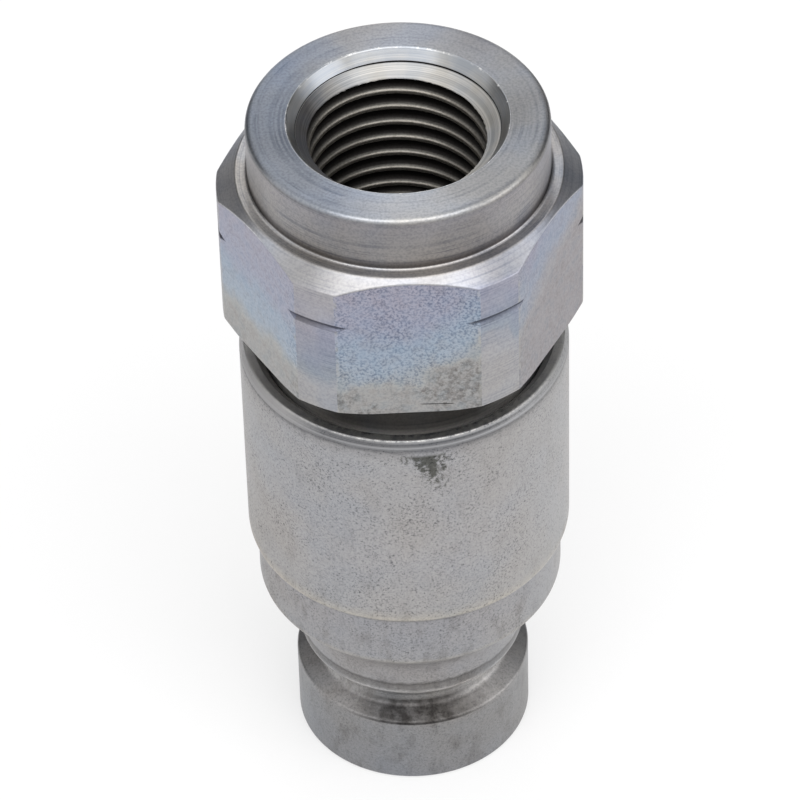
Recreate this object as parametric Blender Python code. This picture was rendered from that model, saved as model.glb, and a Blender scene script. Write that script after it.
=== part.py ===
"""Male half of a flat-face hydraulic quick coupling with a G 1/4 port.

The part stands on its tip. Heights run up from the tip face to the port, +Z up, in metres,
and every turned piece has the Z axis as its own axis. The body holds a spring-closed valve:
a two-piece poppet with its seals, a coil spring, and a windowed guide behind a snap ring.
The port adapter screws into the body's rear and seals there with an O-ring.
"""

import math

import bmesh
import bpy
from mathutils import Matrix, Vector

MM = 0.001

# Clearances
SEAT_GAP = 0.3 * MM          # between pieces that seat on each other
HEAD_CLEARANCE = 0.2 * MM    # valve head in the tip's bore, on the radius
STEM_CLEARANCE = 0.15 * MM   # valve stem in the guide's hub, on the radius
SEAL_SLACK = 0.1 * MM        # beside a seal, along its groove
NOSE_CLEARANCE = 0.5 * MM    # adapter's nose short of the step ahead of it
SPRING_CLEARANCE = 0.4 * MM  # spring's bore round the bosses that centre it

# Spanner size of the hexagon; the body's sleeve is turned to the same diameter
ACROSS_FLATS = 22.0 * MM

# Outside of the body, from the tip up
TIP_RADIUS = 8.1 * MM
TIP_EDGE = 0.1 * MM
FLANGE_HEIGHT = 5.5 * MM
FLANGE_EDGE = 0.15 * MM
GROOVE_DEPTH = 1.4 * MM
GROOVE_BACK_RISE = 0.7 * MM
GROOVE_FLOOR = 0.9 * MM
GROOVE_RAMP = 1.1 * MM
GROOVE_FILLET = 0.35 * MM
LAND_DEPTH = 0.3 * MM
LAND_HEIGHT = 0.9 * MM
TAPER_HEIGHT = 4.9 * MM
TAPER_SWEEP = 8.5 * MM
TAPER_KNEE = (0.17, 0.51)    # the sweep's corner, as shares of the taper's width and height
STEP_DEPTH = 0.6 * MM
STEP_HEIGHT = 4.1 * MM
STEP_SLOPE = 0.55 * MM
SLEEVE_LENGTH = 16.65 * MM
RIM_CHAMFER = (0.3 * MM, 0.6 * MM)  # across and along
RIM_MOUTH = 0.5 * MM

# Inside of the body
GROOVE_WALL = 1.2 * MM       # left between the locking groove and the throat
SEAT_WIDTH = 0.6 * MM        # the 45 degree metal seat that stops the valve
BORE_LENGTH = 4.4 * MM
BORE_EDGE = 0.25 * MM
THROAT_MARGIN = 0.8 * MM     # the throat runs this far past the groove's land
CHAMBER_CONE = 1.7 * MM
THREAD_WALL = 1.4 * MM       # left round the thread for the adapter
THREAD_LENGTH = 5.7 * MM
STOP_WIDTH = 0.7 * MM        # the shoulder that the adapter screws down to
POCKET_STEP = 0.7 * MM       # from the seal bore in to the guide's pocket
GUIDE_SEAT_WIDTH = 1.0 * MM

# Snap ring
SNAP_THICKNESS = 0.8 * MM
SNAP_SLACK = 0.15 * MM
SNAP_BITE = 0.55 * MM        # depth of its groove
SNAP_WIDTH = 1.15 * MM
SNAP_OPENING = math.radians(40)
SNAP_LIP = 0.45 * MM         # wall between its groove and the seal bore

# Valve guide
GUIDE_THICKNESS = 2.0 * MM
HUB_FRONT = 1.5 * MM
HUB_REAR = 0.6 * MM
HUB_EDGE = 0.3 * MM
WINDOW_COUNT = 3
ARM_WIDTH = 2.4 * MM
WINDOW_RIM = 0.8 * MM        # outer ring of the guide inside the chamber's wall
SEAT_RING = 0.3 * MM         # guide's spring seat beyond the spring

# Valve
FACE_RECESS = 0.15 * MM
HEAD_THICKNESS = 1.35 * MM
HEAD_EDGE = 0.2 * MM
HEAD_GROOVE_DEPTH = 1.75 * MM
STOP_HEIGHT = 0.9 * MM       # cylinder behind the metal stop cone
SPRING_INSET = 0.8 * MM      # spring inside the stop's edge
BOSS_HEIGHT = 1.5 * MM
STEM_RADIUS = 1.6 * MM
STEM_REACH = 0.4 * MM        # stem past the guide's hub
STEM_EDGE = 0.3 * MM
SPIGOT_RADIUS = 1.2 * MM
SPIGOT_LENGTH = 3.0 * MM

# Spring
WIRE_DIAMETER = 1.0 * MM
SPRING_TURNS = 6.5
CLOSED_PITCH = 1.15          # end turns, as a share of the wire
GROUND_SHARE = 0.35          # how much of the wire's radius is ground off the ends

# Seals
HEAD_O_RING = 1.4 * MM
HEAD_BACKUP = 0.45 * MM
NOSE_O_RING = 1.4 * MM
NOSE_BACKUP = 0.5 * MM
BACKUP_GAP = 0.25 * MM       # radial gap of a backup ring to its walls

# Port adapter
NOSE_GROOVE_DEPTH = 1.6 * MM
NOSE_LAND = 0.5 * MM
NOSE_LIP = 0.8 * MM
NOSE_WALL = 0.6 * MM         # left between the nose's groove and its mouth
NOSE_CONE = 2.4 * MM
NOSE_EDGE = 0.25 * MM
NECK_RELIEF = 0.2 * MM
NECK_GAP = 2.8 * MM          # from the body's rim to the hexagon
NECK_FILLET = 0.3 * MM
HEX_HEIGHT = 11.6 * MM
CORNER_PROUD = 0.93 * MM     # the turned corners beyond the flats
LOWER_CHAMFER = (0.73 * MM, 0.32 * MM)
UPPER_CHAMFER = (1.28 * MM, 1.0 * MM)
RING_WIDTH = 0.78 * MM       # flat ring between the chamfer and the collar
MARK_HEIGHT = 7.9 * MM       # turned groove across the corners, above the hexagon's lower face
MARK_WIDTH = 0.5 * MM
MARK_DEPTH = 0.35 * MM
COLLAR_HEIGHT = 4.1 * MM
COLLAR_EDGE = 0.4 * MM
COLLAR_FILLET = 0.25 * MM
PORT_RADIUS = 5.72 * MM      # G 1/4, bored to the crests of its thread
PORT_DEPTH = 12.5 * MM
SINK_OUTER = 1.48 * MM       # countersink beyond the port's bore, in two cones
SINK_INNER = 0.93 * MM
SINK_UPPER = 0.8 * MM
SINK_LOWER = 0.7 * MM
FLOW_RADIUS = 4.2 * MM
DRILL_POINT = math.radians(59)

# Faceting
BODY_FACETS = 48
SMALL_FACETS = 36
SEAL_SIDES = 8
WIRE_SIDES = 8
TURN_STEPS = 16
WINDOW_STEPS = 8
FACET_ERROR = 0.015 * MM
FILLET_SHARE = 0.98          # the most of a side that its fillets may take
MERGE_DISTANCE = 1e-7
SHARP_ANGLE = math.radians(35)

# Radii that follow
sleeve_radius = ACROSS_FLATS / 2
groove_radius = TIP_RADIUS - GROOVE_DEPTH
land_radius = TIP_RADIUS - LAND_DEPTH
step_radius = sleeve_radius - STEP_DEPTH
throat_radius = groove_radius - GROOVE_WALL
bore_radius = throat_radius - SEAT_WIDTH
thread_radius = sleeve_radius - THREAD_WALL
seal_radius = thread_radius - STOP_WIDTH
pocket_radius = seal_radius - POCKET_STEP
chamber_radius = pocket_radius - GUIDE_SEAT_WIDTH
head_radius = bore_radius - HEAD_CLEARANCE
head_root = head_radius - HEAD_GROOVE_DEPTH
stop_radius = throat_radius - SEAT_GAP
spring_outer = stop_radius - SPRING_INSET
spring_inner = spring_outer - WIRE_DIAMETER
boss_radius = spring_inner - SPRING_CLEARANCE
hub_bore = STEM_RADIUS + STEM_CLEARANCE
shank_radius = thread_radius - SEAT_GAP
neck_radius = shank_radius - NECK_RELIEF
nose_radius = seal_radius - SEAT_GAP
nose_root = nose_radius - NOSE_GROOVE_DEPTH
corner_radius = ACROSS_FLATS / 2 + CORNER_PROUD
ring_radius = corner_radius - UPPER_CHAMFER[0]
collar_radius = ring_radius - RING_WIDTH

# Heights that follow, from the tip up
z_groove = FLANGE_HEIGHT + GROOVE_BACK_RISE
z_ramp = z_groove + GROOVE_FLOOR
z_land = z_ramp + GROOVE_RAMP
z_taper = z_land + LAND_HEIGHT
z_step = z_taper + TAPER_HEIGHT
z_slope = z_step + STEP_HEIGHT
z_sleeve = z_slope + STEP_SLOPE
z_rim = z_sleeve + SLEEVE_LENGTH
z_throat_end = z_taper + THROAT_MARGIN
z_chamber = z_throat_end + CHAMBER_CONE

# From the body's rim down to the guide's seat
z_stop = z_rim - THREAD_LENGTH
z_shank = z_stop + SEAT_GAP
nose_groove = NOSE_O_RING + NOSE_BACKUP + 3 * SEAL_SLACK
z_nose_groove = z_shank - NOSE_LAND - nose_groove
z_nose = z_nose_groove - NOSE_LIP
z_seal = z_nose - NOSE_CLEARANCE
z_snap_groove = z_seal - SNAP_LIP - SNAP_THICKNESS - 2 * SNAP_SLACK
z_guide_rear = z_snap_groove + SNAP_SLACK - SEAT_GAP
z_guide = z_guide_rear - GUIDE_THICKNESS
z_pocket = z_guide - SEAT_GAP
z_hub_rear = z_guide_rear + HUB_REAR

# Valve and spring
z_head_groove = FACE_RECESS + HEAD_THICKNESS
z_stem_front = z_head_groove + HEAD_O_RING + HEAD_BACKUP + 3 * SEAL_SLACK
z_stop_cone = BORE_LENGTH + head_radius - bore_radius + SEAT_GAP * math.sqrt(2)
z_stop_edge = z_stop_cone + stop_radius - head_radius
z_stop_rear = z_stop_edge + STOP_HEIGHT
z_boss_end = z_stop_rear + BOSS_HEIGHT
z_stem_end = z_hub_rear + STEM_REACH
z_spigot_end = z_stem_front + SPIGOT_LENGTH
z_spring_low = z_stop_rear + SEAT_GAP
z_spring_high = z_guide - SEAT_GAP

# Adapter
z_hex = z_rim + NECK_GAP
z_ring = z_hex + HEX_HEIGHT
z_port = z_ring + COLLAR_HEIGHT
z_mark = z_hex + MARK_HEIGHT
z_port_end = z_port - PORT_DEPTH
z_drill_end = z_port_end - (PORT_RADIUS - FLOW_RADIUS) / math.tan(DRILL_POINT)


def finish(name, colour, roughness, metallic):
    """A plain Principled BSDF material; colour is an sRGB hex string."""
    def linear(pair):
        value = int(pair, 16) / 255
        return value / 12.92 if value <= 0.04045 else ((value + 0.055) / 1.055) ** 2.4

    material = bpy.data.materials.new(name)
    material.use_nodes = True
    shader = material.node_tree.nodes["Principled BSDF"]
    rgb = [linear(colour[i:i + 2]) for i in (0, 2, 4)]
    shader.inputs["Base Color"].default_value = (*rgb, 1.0)
    shader.inputs["Roughness"].default_value = roughness
    shader.inputs["Metallic"].default_value = metallic
    material.diffuse_color = (*rgb, 1.0)
    return material


def placed(name, mesh, base, material=None, parent=None):
    """Links a mesh whose heights are absolute as an object standing at height base."""
    for vertex in mesh.vertices:
        vertex.co.z -= base
    mesh.shade_smooth()
    mesh.set_sharp_from_angle(angle=SHARP_ANGLE)
    piece = bpy.data.objects.new(name, mesh)
    bpy.context.collection.objects.link(piece)
    piece.location.z = base
    if material:
        mesh.materials.append(material)
    if parent:
        piece.parent = parent
        piece.location.z = base - parent.location.z
    return piece


def softened(corners):
    """Outline points from (radius, height) or (radius, height, fillet) corners."""
    points = []
    for i, corner in enumerate(corners):
        here = Vector(corner[:2])
        if len(corner) < 3:
            points.append(here)
            continue
        before = Vector(corners[i - 1][:2]) - here
        after = Vector(corners[(i + 1) % len(corners)][:2]) - here
        half = before.angle(after) / 2
        room_before = before.length * fillet_share(corners[i - 1])
        room_after = after.length * fillet_share(corners[(i + 1) % len(corners)])
        reach = min(corner[2] / math.tan(half), room_before, room_after)
        radius = reach * math.tan(half)
        bisector = (before.normalized() + after.normalized()).normalized()
        centre = here + bisector * radius / math.sin(half)
        start = here + before.normalized() * reach - centre
        end = here + after.normalized() * reach - centre
        turn = math.pi - 2 * half
        steps = max(2, math.ceil(turn / (2 * math.acos(1 - min(1, FACET_ERROR / radius)))))
        for k in range(steps + 1):
            share = k / steps
            blend = start * math.sin((1 - share) * turn) + end * math.sin(share * turn)
            points.append(centre + blend / math.sin(turn))
    return points


def fillet_share(neighbour):
    """Share of a side open to a fillet: half of it goes to a neighbour with its own fillet."""
    return FILLET_SHARE if len(neighbour) < 3 else FILLET_SHARE / 2


def turned_mesh(name, corners, facets, sweep=2 * math.pi):
    """Turns an outline round Z. An outline that starts and ends on the axis stays open there."""
    points = softened(corners)
    on_axis = points[0].x == 0 and points[-1].x == 0
    bm = bmesh.new()
    ring = [bm.verts.new((p.x, 0, p.y)) for p in points]
    count = len(ring) - 1 if on_axis else len(ring)
    edges = [bm.edges.new((ring[i], ring[(i + 1) % len(ring)])) for i in range(count)]
    whole = sweep == 2 * math.pi
    made = bmesh.ops.spin(bm, geom=ring + edges, cent=(0, 0, 0), axis=(0, 0, 1), angle=sweep,
                          steps=facets, use_merge=whole, use_duplicate=False)
    if not whole:
        last = [v for v in made["geom_last"] if isinstance(v, bmesh.types.BMVert)]
        bmesh.ops.contextual_create(bm, geom=edges)
        bmesh.ops.contextual_create(bm, geom=[e for e in bm.edges if all(v in last for v in e.verts)])
    bmesh.ops.remove_doubles(bm, verts=bm.verts, dist=MERGE_DISTANCE)
    bmesh.ops.recalc_face_normals(bm, faces=bm.faces)
    mesh = bpy.data.meshes.new(name)
    bm.to_mesh(mesh)
    bm.free()
    return mesh


def turned(name, corners, base, material, facets=SMALL_FACETS, parent=None, sweep=2 * math.pi):
    """A turned piece, placed so that its own origin is at height base on the axis."""
    return placed(name, turned_mesh(name, corners, facets, sweep), base, material, parent)


def cut(piece, cutter, operation):
    """Boolean between a piece and a cutter that isn't part of the object."""
    cutter.hide_render = True
    cutter.display_type = "WIRE"
    modifier = piece.modifiers.new(cutter.name, "BOOLEAN")
    modifier.operation = operation
    modifier.solver = "EXACT"
    modifier.object = cutter


def nipple_body(material):
    """Sleeve, step, taper, locking groove and tip ring outside; valve bore and thread inside."""
    knee_radius = land_radius + TAPER_KNEE[0] * (step_radius - land_radius)
    z_knee = z_taper + TAPER_KNEE[1] * TAPER_HEIGHT
    outside = [
        (TIP_RADIUS - TIP_EDGE, 0),
        (TIP_RADIUS, TIP_EDGE),
        (TIP_RADIUS, FLANGE_HEIGHT, FLANGE_EDGE),
        (groove_radius, z_groove, GROOVE_FILLET),
        (groove_radius, z_ramp, GROOVE_FILLET),
        (land_radius, z_land, GROOVE_FILLET),
        (land_radius, z_taper),
        (knee_radius, z_knee, TAPER_SWEEP),
        (step_radius, z_step),
        (step_radius, z_slope),
        (sleeve_radius, z_sleeve),
        (sleeve_radius, z_rim - RIM_CHAMFER[1]),
        (sleeve_radius - RIM_CHAMFER[0], z_rim),
    ]
    inside = [
        (thread_radius + RIM_MOUTH, z_rim),
        (thread_radius, z_rim - RIM_MOUTH),
        (thread_radius, z_stop),
        (seal_radius, z_stop),
        (seal_radius, z_seal),
        (pocket_radius, z_seal),
        (pocket_radius, z_seal - SNAP_LIP),
        (pocket_radius + SNAP_BITE, z_seal - SNAP_LIP),
        (pocket_radius + SNAP_BITE, z_snap_groove),
        (pocket_radius, z_snap_groove),
        (pocket_radius, z_pocket),
        (chamber_radius, z_pocket),
        (chamber_radius, z_chamber),
        (throat_radius, z_throat_end),
        (throat_radius, BORE_LENGTH + SEAT_WIDTH),
        (bore_radius, BORE_LENGTH),
        (bore_radius, BORE_EDGE),
        (bore_radius + BORE_EDGE, 0),
    ]
    return turned("nipple_body", outside + inside, 0, material, BODY_FACETS)


def port_adapter(material):
    """Sealing nose, threaded shank, neck, hexagon and collar, bored through for the port."""
    half_mark = MARK_WIDTH / 2
    outside = [
        (nose_root - NOSE_WALL, z_nose),
        (nose_radius - NOSE_EDGE, z_nose),
        (nose_radius, z_nose + NOSE_EDGE),
        (nose_radius, z_nose_groove),
        (nose_root, z_nose_groove),
        (nose_root, z_nose_groove + nose_groove),
        (nose_radius, z_nose_groove + nose_groove),
        (nose_radius, z_shank),
        (shank_radius - NOSE_EDGE, z_shank),
        (shank_radius, z_shank + NOSE_EDGE),
        (shank_radius, z_rim),
        (neck_radius, z_rim + NECK_RELIEF),
        (neck_radius, z_hex, NECK_FILLET),
        (corner_radius - LOWER_CHAMFER[0], z_hex),
        (corner_radius, z_hex + LOWER_CHAMFER[1]),
        (corner_radius, z_mark - half_mark),
        (corner_radius - MARK_DEPTH, z_mark),
        (corner_radius, z_mark + half_mark),
        (corner_radius, z_ring - UPPER_CHAMFER[1]),
        (ring_radius, z_ring),
        (collar_radius, z_ring, COLLAR_FILLET),
        (collar_radius, z_port, COLLAR_EDGE),
    ]
    inside = [
        (PORT_RADIUS + SINK_OUTER, z_port),
        (PORT_RADIUS + SINK_INNER, z_port - SINK_UPPER),
        (PORT_RADIUS, z_port - SINK_UPPER - SINK_LOWER),
        (PORT_RADIUS, z_port_end),
        (FLOW_RADIUS, z_drill_end),
        (FLOW_RADIUS, z_nose + NOSE_CONE),
    ]
    adapter = turned("port_adapter", outside + inside, z_nose, material, BODY_FACETS)
    cut(adapter, hexagon_bar(), "INTERSECT")
    return adapter


def hexagon_bar():
    """Six-sided bar, longer than the adapter, whose flats cut the turned blank's widest part."""
    corner = ACROSS_FLATS / 2 / math.cos(math.pi / 6)
    length = 2 * (z_port - z_nose)
    bm = bmesh.new()
    bmesh.ops.create_cone(bm, cap_ends=True, segments=6, radius1=corner, radius2=corner,
                          depth=length)
    bmesh.ops.rotate(bm, verts=bm.verts, matrix=Matrix.Rotation(math.pi / 6, 3, "Z"))
    bmesh.ops.translate(bm, verts=bm.verts, vec=(0, 0, (z_port + z_nose) / 2))
    mesh = bpy.data.meshes.new("hexagon_bar")
    bm.to_mesh(mesh)
    bm.free()
    return placed("hexagon_bar", mesh, z_nose)


def o_ring(name, inner, outer, section, z_low, material, parent=None):
    """Round seal midway between an inner and an outer wall."""
    middle = (inner + outer) / 2
    corners = []
    for k in range(SEAL_SIDES):
        angle = 2 * math.pi * (k + 0.5) / SEAL_SIDES
        corners.append((middle + section / 2 * math.cos(angle),
                        z_low + section / 2 * (1 + math.sin(angle))))
    return turned(name, corners, z_low, material, parent=parent)


def flat_ring(name, inner, outer, thickness, z_low, material, parent=None, sweep=2 * math.pi):
    """Ring of rectangular section."""
    corners = [(inner, z_low), (outer, z_low), (outer, z_low + thickness),
               (inner, z_low + thickness)]
    return turned(name, corners, z_low, material, parent=parent, sweep=sweep)


def valve_guide(material):
    """Disc with a bored hub for the stem, a seat for the spring and windows for the flow."""
    guide_radius = pocket_radius - SEAT_GAP
    z_front = z_guide - HUB_FRONT
    outline = [
        (hub_bore, z_front),
        (boss_radius - HUB_EDGE, z_front),
        (boss_radius, z_front + HUB_EDGE),
        (boss_radius, z_guide),
        (guide_radius, z_guide),
        (guide_radius, z_guide_rear),
        (boss_radius + HUB_REAR, z_guide_rear),
        (boss_radius, z_hub_rear),
        (hub_bore, z_hub_rear),
    ]
    guide = turned("valve_guide", outline, z_front, material)
    windows = window_cutter(spring_outer + SEAT_RING, chamber_radius - WINDOW_RIM)
    cut(guide, windows, "DIFFERENCE")
    return guide


def window_cutter(inner, outer):
    """Curved blocks, one for each window, with the arms left between them."""
    margin = GUIDE_THICKNESS / 2
    z_low = z_guide - margin
    z_high = z_guide_rear + margin
    corners = [(inner, z_low), (outer, z_low), (outer, z_high), (inner, z_high)]
    pitch = 2 * math.pi / WINDOW_COUNT
    sweep = pitch - 2 * math.asin(ARM_WIDTH / (inner + outer))
    block = turned_mesh("window", corners, WINDOW_STEPS, sweep)
    bm = bmesh.new()
    for k in range(WINDOW_COUNT):
        bm.from_mesh(block)
        new = bm.verts[-len(block.vertices):]
        bmesh.ops.rotate(bm, verts=new, matrix=Matrix.Rotation(k * pitch, 3, "Z"))
    mesh = bpy.data.meshes.new("guide_windows")
    bm.to_mesh(mesh)
    bm.free()
    return placed("guide_windows", mesh, z_low)


def poppet_head(material, poppet):
    """Flat valve face with the spigot that carries the seals and screws into the stem."""
    outline = [
        (0, FACE_RECESS),
        (head_radius - HEAD_EDGE, FACE_RECESS),
        (head_radius, FACE_RECESS + HEAD_EDGE),
        (head_radius, z_head_groove),
        (head_root, z_head_groove),
        (head_root, z_stem_front - SEAT_GAP),
        (SPIGOT_RADIUS, z_stem_front - SEAT_GAP),
        (SPIGOT_RADIUS, z_spigot_end),
        (0, z_spigot_end),
    ]
    return turned("poppet_head", outline, FACE_RECESS, material, parent=poppet)


def poppet_stem(material, poppet):
    """Land and metal stop cone behind the seals, spring boss, and the guided stem."""
    hole_radius = SPIGOT_RADIUS + SEAT_GAP
    z_hole_end = z_spigot_end + SEAT_GAP
    outline = [
        (0, z_hole_end),
        (hole_radius, z_hole_end),
        (hole_radius, z_stem_front),
        (head_radius, z_stem_front),
        (head_radius, z_stop_cone),
        (stop_radius, z_stop_edge),
        (stop_radius, z_stop_rear),
        (boss_radius, z_stop_rear),
        (boss_radius, z_boss_end - HUB_EDGE),
        (boss_radius - HUB_EDGE, z_boss_end),
        (STEM_RADIUS, z_boss_end, HUB_EDGE),
        (STEM_RADIUS, z_stem_end - STEM_EDGE),
        (STEM_RADIUS - STEM_EDGE, z_stem_end),
        (0, z_stem_end),
    ]
    return turned("poppet_stem", outline, z_stem_front, material, parent=poppet)


def coil_centre(turn):
    """Height of the wire's centre after a number of turns: closed ends, even pitch between."""
    ground = WIRE_DIAMETER / 2 * (1 - GROUND_SHARE)
    low = z_spring_low + ground
    high = z_spring_high - ground
    closed = CLOSED_PITCH * WIRE_DIAMETER
    pitch = (high - low - 2 * closed) / (SPRING_TURNS - 2)
    if turn <= 1:
        return low + closed * turn
    if turn >= SPRING_TURNS - 1:
        return high - closed * (SPRING_TURNS - turn)
    return low + closed + pitch * (turn - 1)


def valve_spring(material):
    """Round wire carried along a helix, with its first and last turns closed and ground flat."""
    middle = (spring_inner + spring_outer) / 2
    steps = round(SPRING_TURNS * TURN_STEPS)
    bm = bmesh.new()
    rings = []
    for step in range(steps + 1):
        turn = SPRING_TURNS * step / steps
        around = Matrix.Rotation(2 * math.pi * turn, 3, "Z")
        ring = []
        for side in range(WIRE_SIDES):
            angle = 2 * math.pi * side / WIRE_SIDES
            height = coil_centre(turn) + WIRE_DIAMETER / 2 * math.sin(angle)
            height = max(z_spring_low, min(z_spring_high, height))
            reach = middle + WIRE_DIAMETER / 2 * math.cos(angle)
            ring.append(bm.verts.new(around @ Vector((reach, 0, height))))
        rings.append(ring)
    for first, second in zip(rings, rings[1:]):
        for side in range(WIRE_SIDES):
            after = (side + 1) % WIRE_SIDES
            bm.faces.new((first[side], first[after], second[after], second[side]))
    bm.faces.new(rings[0])
    bm.faces.new(rings[-1])
    bmesh.ops.triangulate(bm, faces=bm.faces)
    bmesh.ops.recalc_face_normals(bm, faces=bm.faces)
    mesh = bpy.data.meshes.new("valve_spring")
    bm.to_mesh(mesh)
    bm.free()
    return placed("valve_spring", mesh, z_spring_low, material)


def clear_scene():
    """Starts from an empty scene."""
    for item in list(bpy.data.objects):
        bpy.data.objects.remove(item, do_unlink=True)


def main():
    clear_scene()
    zinc = finish("zinc_plated_steel", "A5A3A4", 0.42, 1.0)
    passivated = finish("blue_passivated_zinc", "A9ADB8", 0.38, 1.0)
    hardened = finish("hardened_steel", "9A9CA0", 0.3, 1.0)
    spring_steel = finish("spring_steel", "77797D", 0.35, 1.0)
    rubber = finish("nitrile_rubber", "1C1C1D", 0.6, 0.0)
    plastic = finish("ptfe", "E4E0D4", 0.5, 0.0)

    nipple_body(zinc)
    port_adapter(passivated)
    z_nose_backup = z_nose_groove + NOSE_O_RING + 2 * SEAL_SLACK
    o_ring("adapter_o_ring", nose_root, seal_radius, NOSE_O_RING,
           z_nose_groove + SEAL_SLACK, rubber)
    flat_ring("adapter_backup_ring", nose_root + BACKUP_GAP, seal_radius - BACKUP_GAP,
              NOSE_BACKUP, z_nose_backup, plastic)

    valve_guide(hardened)
    snap_outer = pocket_radius + SNAP_BITE - SNAP_SLACK
    flat_ring("guide_snap_ring", snap_outer - SNAP_WIDTH, snap_outer, SNAP_THICKNESS,
              z_snap_groove + SNAP_SLACK, spring_steel, sweep=2 * math.pi - SNAP_OPENING)
    valve_spring(spring_steel)

    poppet = bpy.data.objects.new("poppet", None)
    bpy.context.collection.objects.link(poppet)
    poppet.location.z = FACE_RECESS
    poppet_head(hardened, poppet)
    poppet_stem(hardened, poppet)
    z_head_seal = z_head_groove + HEAD_BACKUP + 2 * SEAL_SLACK
    flat_ring("poppet_backup_ring", head_root + BACKUP_GAP, bore_radius - BACKUP_GAP,
              HEAD_BACKUP, z_head_groove + SEAL_SLACK, plastic, poppet)
    o_ring("poppet_o_ring", head_root, bore_radius, HEAD_O_RING, z_head_seal, rubber, poppet)


main()
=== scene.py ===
"""Looks of a flat-face hydraulic quick coupling, male half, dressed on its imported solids.

Every turned piece is an outline in the half-plane (radius, height), carried round the Z axis
as a grid of points. The hexagon and the port's thread change the radius along each column.
All lengths below are in millimetres and are turned to metres when a mesh is made.
"""

import math

import bmesh
import bpy
import numpy as np
from mathutils import Matrix, Vector


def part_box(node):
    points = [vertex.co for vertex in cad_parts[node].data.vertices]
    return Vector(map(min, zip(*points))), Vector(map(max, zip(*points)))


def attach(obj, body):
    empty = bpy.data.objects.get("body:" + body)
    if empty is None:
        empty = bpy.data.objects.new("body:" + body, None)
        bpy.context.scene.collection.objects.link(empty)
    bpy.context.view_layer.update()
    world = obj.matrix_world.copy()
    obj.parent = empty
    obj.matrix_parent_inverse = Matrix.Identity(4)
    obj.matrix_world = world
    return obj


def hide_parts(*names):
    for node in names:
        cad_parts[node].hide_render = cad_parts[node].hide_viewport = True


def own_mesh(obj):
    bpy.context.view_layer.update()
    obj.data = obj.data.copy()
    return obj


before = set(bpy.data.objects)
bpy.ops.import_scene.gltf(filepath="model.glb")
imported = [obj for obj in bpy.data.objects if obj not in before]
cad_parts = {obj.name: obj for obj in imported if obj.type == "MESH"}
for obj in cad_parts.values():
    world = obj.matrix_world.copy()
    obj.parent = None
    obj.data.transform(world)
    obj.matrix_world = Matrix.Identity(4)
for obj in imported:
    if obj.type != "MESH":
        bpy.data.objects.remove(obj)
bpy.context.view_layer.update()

MM = 0.001


def in_mm(node):
    """Lowest and highest corner of a node of the frame, in millimetres."""
    low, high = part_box(node)
    return np.array(low) / MM, np.array(high) / MM


body_high = in_mm("nipple_body")[1]
adapter_low, adapter_high = in_mm("port_adapter")
head_low, head_high = in_mm("poppet_head")
stem_low, stem_high = in_mm("poppet_stem")
spring_low, spring_high = in_mm("valve_spring")

# Body, outside
SLEEVE_RADIUS = body_high[0]
Z_RIM = body_high[2]
RIM_CHAMFER = (0.3, 0.6)  # across and along
TIP_RADIUS = 8.1
TIP_EDGE = 0.1
FLANGE_TOP = 5.5
GROOVE_RADIUS = 6.7
GROOVE_FLOOR = (6.2, 7.1)
LAND_RADIUS = 7.8
LAND = (8.2, 9.1)
KNEE = (8.242, 11.6)
STEP_RADIUS = 10.4
STEP = (14.0, 18.1)
SLEEVE_FOOT = 18.65

# Body, inside
THREAD_BORE = 9.6
RIM_MOUTH = 0.5
STOP_SHOULDER = 29.6
BORES = (  # radius, lower end, and softness of the upper and lower corner
    (THREAD_BORE, STOP_SHOULDER, 0.05, 0.05),
    (8.9, 25.9, 0.05, 0.05),  # adapter's seal
    (8.2, 25.45, 0.05, 0.03),
    (8.75, 24.35, 0.03, 0.03),  # snap ring
    (8.2, 21.9, 0.03, 0.05),  # guide
    (7.2, 11.6, 0.05, 0.1),  # valve and spring
)
THROAT = (5.5, 9.9)
BORE_RADIUS = 4.9
BORE_LENGTH = 4.4
BORE_MOUTH = 0.25

# Adapter
Z_NOSE = adapter_low[2]
Z_PORT = adapter_high[2]
CORNER_RADIUS = adapter_high[0]
FLAT_RADIUS = adapter_high[1]
NOSE_RADIUS = 8.6
NOSE_EDGE = 0.25  # chamfer of the nose and the shank, across and along
NOSE_ROOT = 7.0
NOSE_GROOVE = (27.2, 29.4)
NOSE_MOUTH = 6.4
NOSE_CONE = 28.8
SHANK_RADIUS = 9.3
SHANK_FOOT = 29.9
NECK_RADIUS = 9.1
Z_HEX = 38.1
Z_RING = 49.7
LOWER_CHAMFER = (0.73, 0.32)  # across and along
UPPER_CHAMFER = (1.28, 1.0)
COLLAR_RADIUS = 9.87
MARK_HEIGHT = 45.8  # turned groove across the six corners
MARK_HALF = 0.25
MARK_DEPTH = 0.24
EDGE_BLEND = 0.05  # softening between a flat and a turned corner
EDGE_BREAK = 0.08  # broken edge under the flats
SINK = ((7.2, 0.0), (6.65, 0.8))
FLOW_RADIUS = 4.2
PORT_END = 41.3
DRILL_CONE = 0.91

# Whitworth pipe thread G 1/4, 19 to the inch
PITCH = 25.4 / 19
THREAD_MINOR = 5.62
THREAD_MAJOR = 6.58
PORT_BORE = 5.74
THREAD_CONE = 1.07  # lower cone of the mouth: radius lost to one of depth
FIRST_CREST = 2.65  # below the port's face, at the side away from the camera
THREAD_START = (1.4, 1.8)  # depths between which the groove reaches its full depth
THREAD_LENGTH = 12.3
THREAD_ROUNDING = 0.88
BURR = 0.05

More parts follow.
